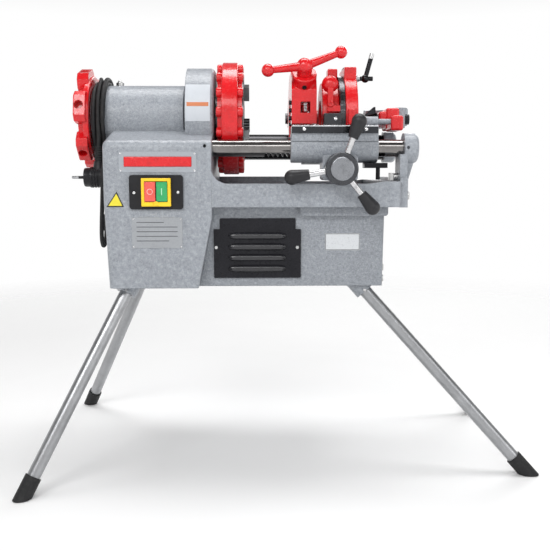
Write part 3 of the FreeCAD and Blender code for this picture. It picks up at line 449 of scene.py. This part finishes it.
PALE_GREEN = plastic("pale_green_mark", (0.40, 0.72, 0.48))
PLATES = split_paint("plate_paint", (0.33, 0.345, 0.365),
                     [(Z, 0.460, (0.37, 0.395, 0.43)), (X, 0.0, (0.62, 0.64, 0.66))])
WHITE_LABEL = printed("white_label", (0.56, 0.59, 0.63))
ORANGE_LABEL = printed("orange_label", (0.58, 0.17, 0.05))
GREY_PRINT = printed("grey_print", (0.10, 0.105, 0.115))
YELLOW_LABEL = printed("yellow_label", (0.82, 0.70, 0.04))
BLACK_PRINT = printed("black_print", (0.02, 0.02, 0.02))
RED_PRINT = red_paint("red_bar_paint")

# The CAD nodes that each material goes on.
NODE_FINISH = [
    (CASTING, ["headstock_casting", "chip_tray", "end_bracket", "carriage_casting", "reamer_arm"]),
    (CASTING_PAINTED_SHADE, ["motor_housing", "rear_cover"]),
    (RED, ["hammer_wheel", "rear_chuck_wheel", "cutter_frame", "cutter_handle", "reamer_block"]),
    (CAM_FINISH, ["cam_ring"]),
    (DIE_FINISH, ["die_head_body"]),
    (DARK_BAR, ["front_rack_bar"]),
    (REAR_BAR_STEEL, ["rear_bar"]),
    (DARK_STEEL, ["chuck_body", "spindle_gear", "upper_gear_shaft", "lower_gear_shaft",
                  "motor_body", "motor_rotor", "feed_pinion", "hinge_shaft", "cutter_slide",
                  "spindle_tube", "front_jaw_1", "front_jaw_2", "front_jaw_3"]),
    (BLACK_STEEL, ["rear_jaw_1", "rear_jaw_2", "rear_jaw_3", "die_1", "die_2", "die_3", "die_4",
                   "cutter_pins", "reamer"]),
    (BRIGHT_STEEL, ["upper_roller", "lower_roller", "cutting_wheel", "body_bolts"]),
    (WAY_FINISH, ["way_strip"]),
    (LEVER_FINISH, ["lock_lever"]),
    (HUB_FINISH, ["handwheel_hub"]),
    (GUIDE_FINISH, ["guide_blocks"]),
    (TUBE_STEEL, ["leg_tubes"]),
    (BRONZE, ["spindle_bushes"]),
    (GRIP_PLASTIC, ["handwheel_grips"]),
    (BLACK_PLASTIC, ["switch_plate", "cord_gland"]),
    (BLACK_PANEL, ["vent_grille"]),
    (RUBBER, ["foot_caps"]),
    (YELLOW, ["switch_frame"]),
    (RED_BUTTON, ["stop_button"]),
    (GREEN_BUTTON, ["start_button"]),
    (PLATES, ["blank_plates"]),
]


def finish_nodes():
    """Gives every CAD node its material."""
    for material, names in NODE_FINISH:
        for name in names:
            slots = NODES[name].data.materials
            slots.clear()
            slots.append(material)


# ---------------------------------------------------------------- mesh pieces

def metres(place):
    """A place in millimetres as a vector in metres."""
    return Vector(place) * MM


def piece_of(name, mesh, material, body):
    """A smooth piece of a bmesh, with sharp edges kept, riding on a body."""
    data = bpy.data.meshes.new(name)
    bmesh.ops.recalc_face_normals(mesh, faces=mesh.faces)
    mesh.to_mesh(data)
    mesh.free()
    data.shade_smooth()
    data.set_sharp_from_angle(angle=SMOOTH_ANGLE)
    data.materials.append(material)
    made = bpy.data.objects.new(name, data)
    bpy.context.scene.collection.objects.link(made)
    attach(made, body)
    return made


def join_rings(mesh, pairs):
    """Faces all round between the two rings of points in each pair."""
    for low, high in pairs:
        for i in range(len(low)):
            j = (i + 1) % len(low)
            mesh.faces.new((low[i], low[j], high[j], high[i]))


def close_tube(mesh, rings):
    """A closed skin over rings of points, with a face across the first and the last of them."""
    mesh.faces.new(list(reversed(rings[0])))
    mesh.faces.new(rings[-1])
    join_rings(mesh, zip(rings, rings[1:]))


def turned(mesh, profile, place, axis, steps=32, hollow=False):
    """A solid of (radius, height) points turned about an axis, or a hollow ring of them."""
    turn = Vector(axis).to_track_quat("Z", "Y")
    rings = []
    for radius, height in profile:
        ring = []
        for i in range(steps):
            a = 2 * math.pi * i / steps
            point = turn @ Vector((radius * math.cos(a), radius * math.sin(a), height))
            ring.append(mesh.verts.new(metres(Vector(place) + point)))
        rings.append(ring)
    if hollow:
        join_rings(mesh, zip(rings, rings[1:] + rings[:1]))
    else:
        close_tube(mesh, rings)


def soft_box(mesh, low, high, edge):
    """A block between two corners, with rounded edges."""
    verts = bmesh.ops.create_cube(mesh, size=1)["verts"]
    for vert in verts:
        place = [lo + (c + 0.5) * (hi - lo) for c, lo, hi in zip(vert.co, low, high)]
        vert.co = metres(place)
    edges = list({e for vert in verts for e in vert.link_edges})
    bmesh.ops.bevel(mesh, geom=edges, offset=edge * MM, segments=2, affect="EDGES", profile=0.5)


def front_block(mesh, corners, face, rise, sink, edge):
    """A block by its two (x, z) corners, which stands out of a front face and reaches into it."""
    (x0, z0), (x1, z1) = corners
    soft_box(mesh, (x0, face - rise, z0), (x1, face + sink, z1), edge)


def socket_screw(mesh, place, axis, radius, height):
    """A screw head with a rounded rim and a round recess."""
    profile = [(radius, -0.4), (radius, 0.7 * height), (0.86 * radius, height),
               (0.5 * radius, height), (0.44 * radius, 0.35 * height)]
    turned(mesh, profile, place, axis, 20)


def coil_spring(mesh, low, height, radius, wire, turns):
    """A closed helical spring standing up from a point."""
    steps, sides = 18 * turns, 8
    up = Vector((0, 0, 1))
    rings = []
    for i in range(steps + 1):
        a = 2 * math.pi * turns * i / steps
        offset = (radius * math.cos(a), radius * math.sin(a), height * i / steps)
        middle = Vector(low) + Vector(offset)
        out = Vector((math.cos(a), math.sin(a), 0))
        ring = []
        for k in range(sides):
            b = 2 * math.pi * k / sides
            point = middle + wire * (math.cos(b) * out + math.sin(b) * up)
            ring.append(mesh.verts.new(metres(point)))
        rings.append(ring)
    close_tube(mesh, rings)


# ---------------------------------------------------------------- supply lead

def ease(value):
    """A smooth step from 0 to 1."""
    value = min(1.0, max(0.0, value))
    return value * value * (3 - 2 * value)


def coil_point(angle):
    """A point on the coil, at an angle in degrees from straight up, measured towards the front."""
    x, radius = COIL_LANES[0]
    for change, lane in zip(LANE_CHANGES, COIL_LANES[1:]):
        share = ease((angle - change) / CHANGE_WIDTH + 0.5)
        x += share * (lane[0] - x)
        radius += share * (lane[1] - radius)
    a = math.radians(angle)
    radius += COIL_SAG * max(0.0, -math.cos(a)) ** 2.5
    return (x, -radius * math.sin(a), AXIS_Z + radius * math.cos(a))


def lead_points():
    """Up from the gland, round the headstock and down to the plug."""
    first, last = COIL_SPAN
    turns = [coil_point(first + (last - first) * i / COIL_STEPS) for i in range(COIL_STEPS + 1)]
    return SUPPLY_ROUTE + turns + TAIL_ROUTE


def supply_lead():
    """The whole lead as one line, in place of the two CAD nodes of it."""
    curve = bpy.data.curves.new("supply_lead", "CURVE")
    curve.dimensions = "3D"
    curve.bevel_depth = CORD_R * MM
    curve.bevel_resolution = 4
    curve.resolution_u = 5
    curve.use_fill_caps = True
    points = lead_points()
    spline = curve.splines.new("NURBS")
    spline.points.add(len(points) - 1)
    for point, place in zip(spline.points, points):
        point.co = (*metres(place), 1)
    spline.order_u = 3
    spline.use_endpoint_u = True
    curve.materials.append(CORD_RUBBER)
    lead = bpy.data.objects.new("supply_lead", curve)
    bpy.context.scene.collection.objects.link(lead)
    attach(lead, "frame")
    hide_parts("cord_tube", "cord_coil")
    return lead


def ribbed_boot(name, start, towards, length, wide, narrow, ribs):
    """A rubber strain relief that narrows from its start, with rings moulded round it."""
    mesh = bmesh.new()
    profile = [(wide, 0)]
    pitch = length / (ribs + 0.5)
    for i in range(ribs):
        low = (i + 0.4) * pitch
        radius = wide + (narrow - wide) * low / length
        profile += [(radius, low), (radius - 1.0, low + 0.12 * pitch),
                    (radius - 1.0, low + 0.42 * pitch), (radius - 0.1, low + 0.54 * pitch)]
    profile.append((narrow, length))
    turned(mesh, profile, start, Vector(towards) - Vector(start), 28)
    return piece_of(name, mesh, RUBBER, "frame")


def plug_pieces():
    """The plug: a shell with finger grooves, two pins with sleeves, and its ribbed boot."""
    plug_y, plug_z = PLUG_AT
    boot_top = TAIL_ROUTE[-1]
    boot_x = boot_top[0]
    x0, x1 = PLUG_X
    shell = bmesh.new()
    profile = [(11.5, x0), (15.2, x0 + 0.8), (15.9, x0 + 3), (15.9, x0 + 9)]
    profile += [(17.3, x0 + 11), (17.4, x0 + 13)]
    for groove in (x0 + 16, x0 + 20.5, x0 + 25):
        profile += [(17.4, groove - 1), (16.5, groove),
                    (16.5, groove + 1.2), (17.4, groove + 2.2)]
    profile += [(17.3, x1 - 5), (16.2, x1 - 2), (13.8, x1 - 0.4), (9.5, x1)]
    turned(shell, profile, (0, plug_y, plug_z), (1, 0, 0), 48)
    turned(shell, [(8.2, 0), (10.5, 12), (13.5, 21)], (boot_x, plug_y, 517), (0, 0, -1))
    pins = bmesh.new()
    sleeves = bmesh.new()
    pin = [(2.3, 0), (2.3, PIN_LENGTH - 1), (1.7, PIN_LENGTH + 0.3), (0.7, PIN_LENGTH + 0.5)]
    for side in (-PIN_OFFSET, PIN_OFFSET):
        start = (x0 + 0.5, plug_y + side, plug_z)
        turned(pins, pin, start, (-1, 0, 0), 20)
        turned(sleeves, [(2.4, 0), (2.4, 8), (2.3, 8.2)], start, (-1, 0, 0), 20)
    body = piece_of("plug_shell", shell, BLACK_PLASTIC, "frame")
    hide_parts("plug_body")
    boot = ribbed_boot("plug_boot", (boot_x, plug_y, 516), boot_top,
                       length=26, wide=8.2, narrow=5.2, ribs=6)
    return [body, boot, piece_of("plug_pins", pins, TUBE_STEEL, "frame"),
            piece_of("plug_pin_sleeves", sleeves, BLACK_PLASTIC, "frame")]


def make_lead():
    """The lead with its gland, boots and plug."""
    lead = supply_lead()
    x, y, z = GLAND
    boot = ribbed_boot("gland_boot", (x, y, z + 3), (x, y - 0.8, z - 15),
                       length=18, wide=7.4, narrow=4.9, ribs=4)
    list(plug_pieces())


# ---------------------------------------------------------------- plates, labels and small parts

def flat_plate(name, corners, back, front, material):
    """A thin plate facing the front: its (x, z) outline, and the y of its two faces."""
    mesh = bmesh.new()
    rings = [[mesh.verts.new(metres((x, y, z))) for x, z in corners] for y in (back, front)]
    close_tube(mesh, rings)
    piece_of(name, mesh, material, "frame")


def boss_label(name, spans, lift, material):
    """A film label wrapped round the front of the headstock's boss."""
    mesh = bmesh.new()
    steps = 14
    (x0, x1), heights = spans
    low_angle, high_angle = (math.asin((z - AXIS_Z) / BOSS_R) for z in heights)
    inner, outer = BOSS_R + 0.02, BOSS_R + lift
    rings = []
    for i in range(steps + 1):
        a = low_angle + (high_angle - low_angle) * i / steps
        ring = []
        for x, radius in ((x0, inner), (x1, inner), (x1, outer), (x0, outer)):
            place = (x, -radius * math.cos(a), AXIS_Z + radius * math.sin(a))
            ring.append(mesh.verts.new(metres(place)))
        rings.append(ring)
    close_tube(mesh, rings)
    piece_of(name, mesh, material, "frame")


def make_plates():
    """Blank stand-ins for the name plate, rating plate and stickers, with their fixings."""
    plate_y = BODY_FRONT - PLATE_THICK
    bar = bmesh.new()
    front_block(bar, NAME_BAR, plate_y, rise=1.2, sink=0.3, edge=1.0)
    piece_of("red_name_bar", bar, RED_PRINT, "frame")
    screws = bmesh.new()
    for x, z in NAME_PLATE_SCREWS:
        socket_screw(screws, (x, plate_y, z), FRONT, radius=1.7, height=1.2)
    rivet = [(1.5, -0.2), (1.5, 0.3), (1.0, 0.9), (0.3, 1.05)]
    for x, z in RATING_PLATE_RIVETS:
        turned(screws, rivet, (x, plate_y, z), FRONT, 16)
    for x, z in SWITCH_SCREWS:
        place = (x, BODY_FRONT - SWITCH_PLATE_THICK, z)
        socket_screw(screws, place, FRONT, radius=2.4, height=1.4)
    piece_of("plate_screws", screws, CHROME, "frame")
    rules = bmesh.new()
    x, top = RULE_START
    for i, length in enumerate(RULE_LENGTHS):
        z = top - RULE_PITCH * i
        corners = ((x, z - RULE_HALF_WIDTH), (x + length, z + RULE_HALF_WIDTH))
        front_block(rules, corners, plate_y, rise=0.25, sink=0.2, edge=0.15)
    piece_of("rating_plate_rules", rules, GREY_PRINT, "frame")
    flat_plate("triangle_border", TRIANGLE_BORDER, BODY_FRONT + 0.2, BODY_FRONT - 0.25, BLACK_PRINT)
    flat_plate("triangle_label", TRIANGLE_LABEL, BODY_FRONT, BODY_FRONT - 0.4, YELLOW_LABEL)
    boss_label("boss_label", BOSS_LABEL, lift=0.3, material=WHITE_LABEL)
    boss_label("boss_label_band", BOSS_BAND, lift=0.5, material=ORANGE_LABEL)


def make_switch():
    """The ring and bar on the buttons, and the rounded lip below them."""
    ring = bmesh.new()
    section = [(3.6, -0.2), (3.6, 0.35), (4.9, 0.35), (4.9, -0.2)]
    x, z = STOP_RING
    turned(ring, section, (x, BUTTON_FRONT, z), FRONT, 28, hollow=True)
    piece_of("stop_mark", ring, PALE_RED, "stop_button")
    bar = bmesh.new()
    front_block(bar, START_BAR, BUTTON_FRONT, rise=0.35, sink=0.2, edge=0.2)
    piece_of("start_mark", bar, PALE_GREEN, "start_button")
    lip = bmesh.new()
    x, z = SWITCH_LIP
    turned(lip, [(4.2, 0), (4.2, 4.4), (3.6, 5.0)], (x, SWITCH_FRAME_FRONT, z), FRONT, 28)
    piece_of("switch_lip", lip, YELLOW, "frame")


def louvre(mesh, z):
    """A pressed hood: a half-round ridge on the panel, drawn in to both ends."""
    along, across = 36, 12
    x0, x1 = LOUVRE_SPAN
    rings = []
    for i in range(along + 1):
        x = x0 + (x1 - x0) * 0.5 * (1 - math.cos(math.pi * i / along))
        off_middle = abs(2 * (x - x0) / (x1 - x0) - 1)
        swell = (1 - off_middle ** 8) ** 0.5 * (1 - LOUVRE_END) + LOUVRE_END
        ring = []
        for k in range(across + 1):
            a = math.pi * k / across
            place = (x, PANEL_FRONT - swell * LOUVRE_DEPTH * math.sin(a),
                     z + swell * LOUVRE_HALF_HEIGHT * math.cos(a))
            ring.append(mesh.verts.new(metres(place)))
        rings.append(ring)
    close_tube(mesh, rings)


def make_panel_parts():
    """The louvred panel's hoods and the thin border of the marking plate."""
    hoods = bmesh.new()
    for z in LOUVRE_HEIGHTS:
        louvre(hoods, z)
    piece_of("grille_louvres", hoods, LOUVRE_PAINT, "frame")
    border = bmesh.new()
    (x0, z0), (x1, z1) = MARKING_BORDER
    for corners in (((x0, z0), (x1, z0 + BORDER_WIDTH)), ((x0, z1 - BORDER_WIDTH), (x1, z1)),
                    ((x0, z0), (x0 + BORDER_WIDTH, z1)), ((x1 - BORDER_WIDTH, z0), (x1, z1))):
        front_block(border, corners, HOUSING_FRONT - PLATE_THICK, rise=0.2, sink=0.1, edge=0.1)
    piece_of("marking_plate_border", border, GREY_PRINT, "frame")


def on_screw_line(along, across):
    """A point by its distance along and across the cutter's screw, which leans to the front."""
    c = math.cos(SCREW_TILT)
    return (CUTTER_X, (across - along) * c, AXIS_Z + (along + across) * c)


def make_small_parts():
    """Small parts of the cutter, the carriage, the cam and the die head."""
    set_screw = bmesh.new()
    socket_screw(set_screw, on_screw_line(*SET_SCREW), (0, -1, -1), radius=4.0, height=0.9)
    piece_of("cutter_set_screw", set_screw, BLACK_STEEL, "cutter")
    spring = bmesh.new()
    coil_spring(spring, SPRING_FOOT, height=15, radius=5.0, wire=1.1, turns=6)
    piece_of("cutter_spring", spring, CHROME, "cutter")
    domes = bmesh.new()
    stop_dome = [(3.4, -0.5), (3.4, 1.0), (2.6, 2.6), (1.0, 3.4), (0.3, 3.5)]
    turned(domes, stop_dome, STOP_BUTTON_DOME, FRONT, 24)
    for place in WAY_DOMES:
        turned(domes, [(3.0, 0), (2.6, 0.9), (1.4, 1.5), (0.4, 1.6)], place, FRONT, 20)
    piece_of("carriage_buttons", domes, CHROME, "carriage")
    bolt = bmesh.new()
    head = [(5.2, -0.5), (5.2, 1.2), (4.2, 2.2), (2.4, 2.2), (2.0, 1.2)]
    turned(bolt, head, CAM_LINK_BOLT, FRONT, 24)
    piece_of("cam_link_bolt", bolt, RED, "cam")
    cap = bmesh.new()
    soft_box(cap, *DIE_HEAD_CAP, edge=0.8)
    piece_of("die_head_cap", cap, BLACK_STEEL, "die_head")


# ---------------------------------------------------------------- stage, light and camera

def faced(place, data, forward):
    """A new light or camera at a place, looking along a direction."""
    made = bpy.data.objects.new(data.name, data)
    made.location = place
    made.rotation_euler = Vector(forward).to_track_quat("-Z", "Y").to_euler()
    bpy.context.scene.collection.objects.link(made)
    return made


def make_lights():
    """The area lights, all turned to the middle of the machine."""
    for name, place, (width, height), power in LIGHTS:
        light = bpy.data.lights.new(name, "AREA")
        light.shape = "RECTANGLE"
        light.size, light.size_y = width, height
        light.energy = power
        faced(place, light, Vector(LIGHT_TARGET) - Vector(place))


def make_sky():
    """White all round and below, and darker overhead, so that upright faces keep some contrast."""
    world = bpy.data.worlds.new("studio")
    bpy.context.scene.world = world
    world.use_nodes = True
    tree = world.node_tree
    background = tree.nodes["Background"]
    place = tree.nodes.new("ShaderNodeTexCoord")
    parts = tree.nodes.new("ShaderNodeSeparateXYZ")
    tree.links.new(place.outputs["Generated"], parts.inputs[0])
    strength = map_range(tree, parts.outputs[Z], *SKY_CHANGE, *SKY_STRENGTH)
    tree.links.new(strength, background.inputs["Strength"])
    background.inputs["Color"].default_value = (1, 1, 1, 1)


def make_floor():
    """A pale floor that fades out well away from the machine."""
    made = Finish("pale_floor")
    colour = made.blend(made.span(made.noise(1.5)), (0.88, 0.88, 0.88), (0.91, 0.91, 0.91))
    material = made.done(colour, roughness=0.6)
    distance = made.vector("LENGTH", made.place).outputs["Value"]
    clear = made.node("ShaderNodeBsdfTransparent")
    mix = made.node("ShaderNodeMixShader")
    made.join(made.span(distance, *FLOOR_FADE), mix.inputs[0])
    made.join(made.shader.outputs[0], mix.inputs[1])
    made.join(clear.outputs[0], mix.inputs[2])
    made.join(mix.outputs[0], made.tree.nodes["Material Output"].inputs["Surface"])
    bpy.ops.mesh.primitive_plane_add(size=FLOOR_SIZE)
    floor = bpy.context.object
    floor.name = "floor"
    floor.location.z = -FLOOR_DROP
    floor.data.materials.append(material)


def make_stage():
    """The floor, the sky and the lights."""
    make_floor()
    make_sky()
    make_lights()


def make_camera():
    """The front view, looking slightly down."""
    camera = bpy.data.cameras.new("camera")
    camera.lens = CAMERA_LENS
    camera.sensor_width = CAMERA_SENSOR
    bpy.context.scene.camera = faced(CAMERA_PLACE, camera, CAMERA_FORWARD)


bpy.context.scene.view_settings.view_transform = "Standard"
make_camera()
make_lead()
finish_nodes()
make_plates()
make_switch()
make_panel_parts()
make_small_parts()
make_stage()
